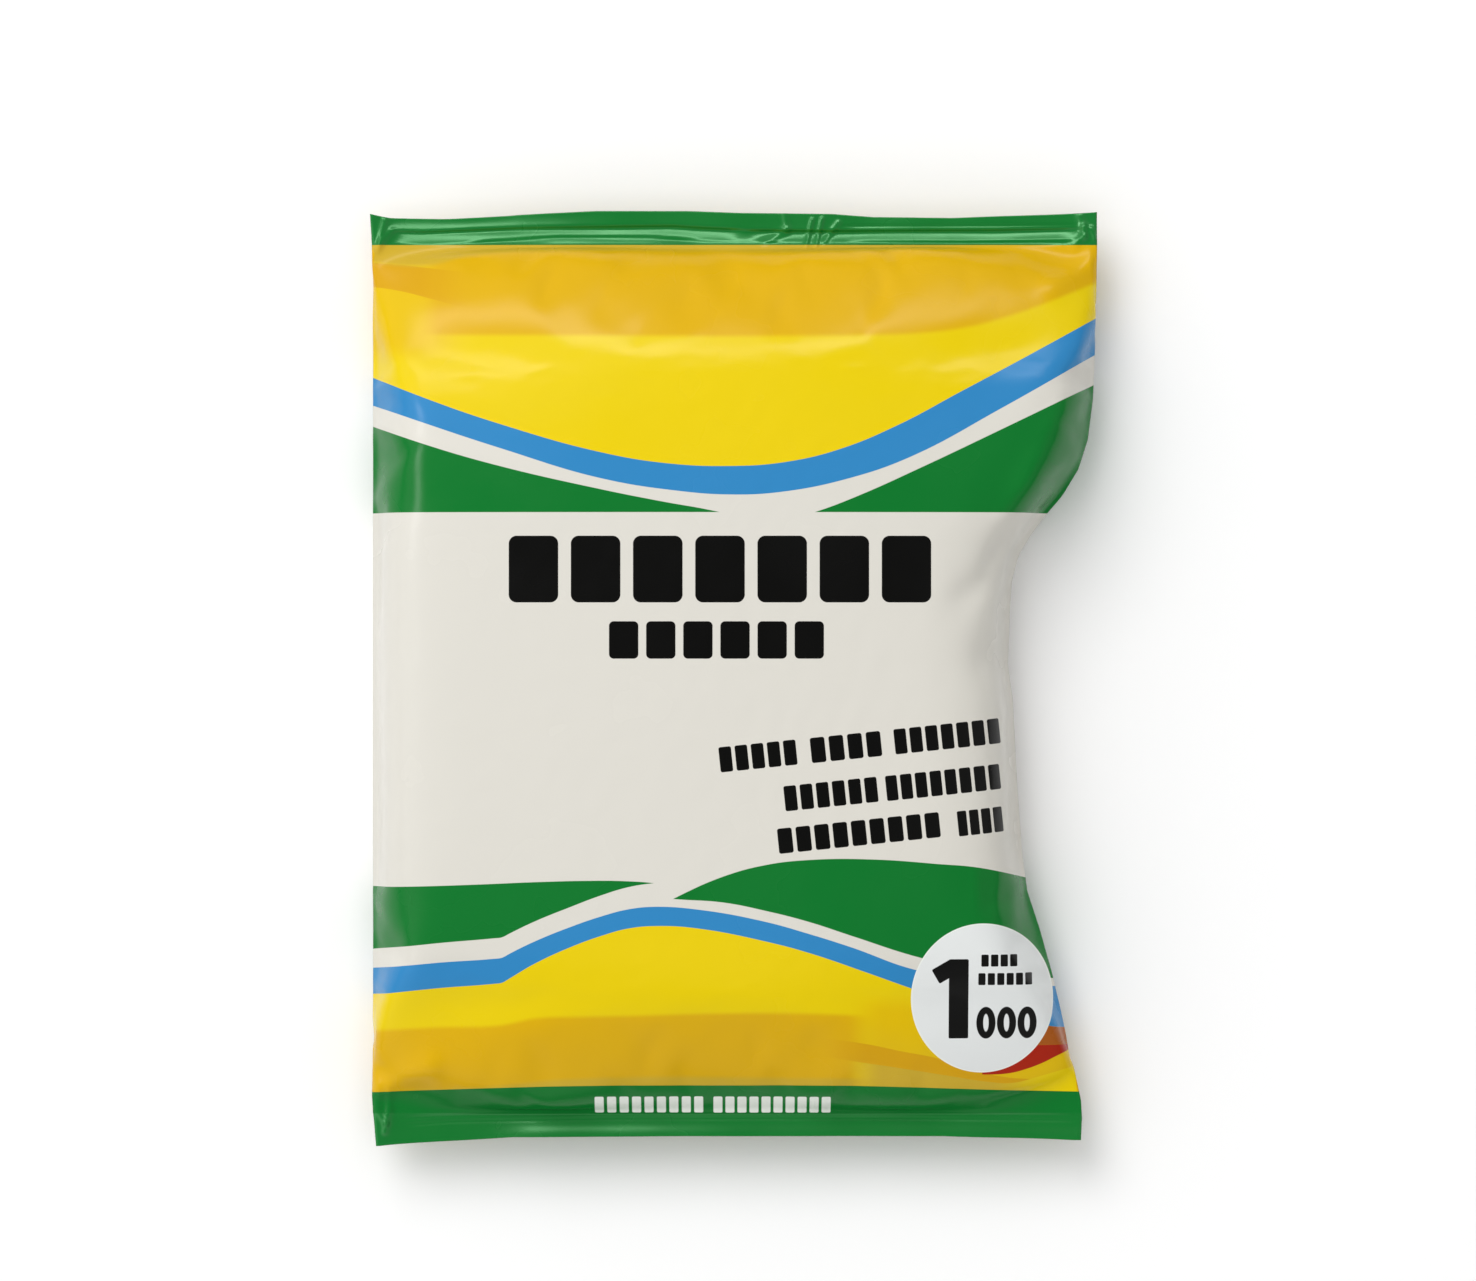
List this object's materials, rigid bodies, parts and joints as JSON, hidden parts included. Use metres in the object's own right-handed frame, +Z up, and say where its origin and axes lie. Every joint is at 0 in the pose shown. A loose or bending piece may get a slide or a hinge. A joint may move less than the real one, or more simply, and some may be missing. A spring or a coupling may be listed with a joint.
{
  "type": "cement bag",
  "caption": "Sealed plastic-film pillow pouch full of cement powder, lying on its back, with flat end seals and a lapped seam down the back.",
  "frame": {"origin": "on the floor, under the middle of the pouch's box", "axes": "+Y along the pouch towards its head seal, +X to the right as the print reads, +Z up out of the printed front"},
  "size_m": [0.17, 0.218, 0.038],
  "materials": {
    "printed_film": "glossy printed film: cream with green, yellow and blue bands"
  },
  "bodies": {
    "root": {"pouch": "printed_film"}
  },
  "joints": []
}
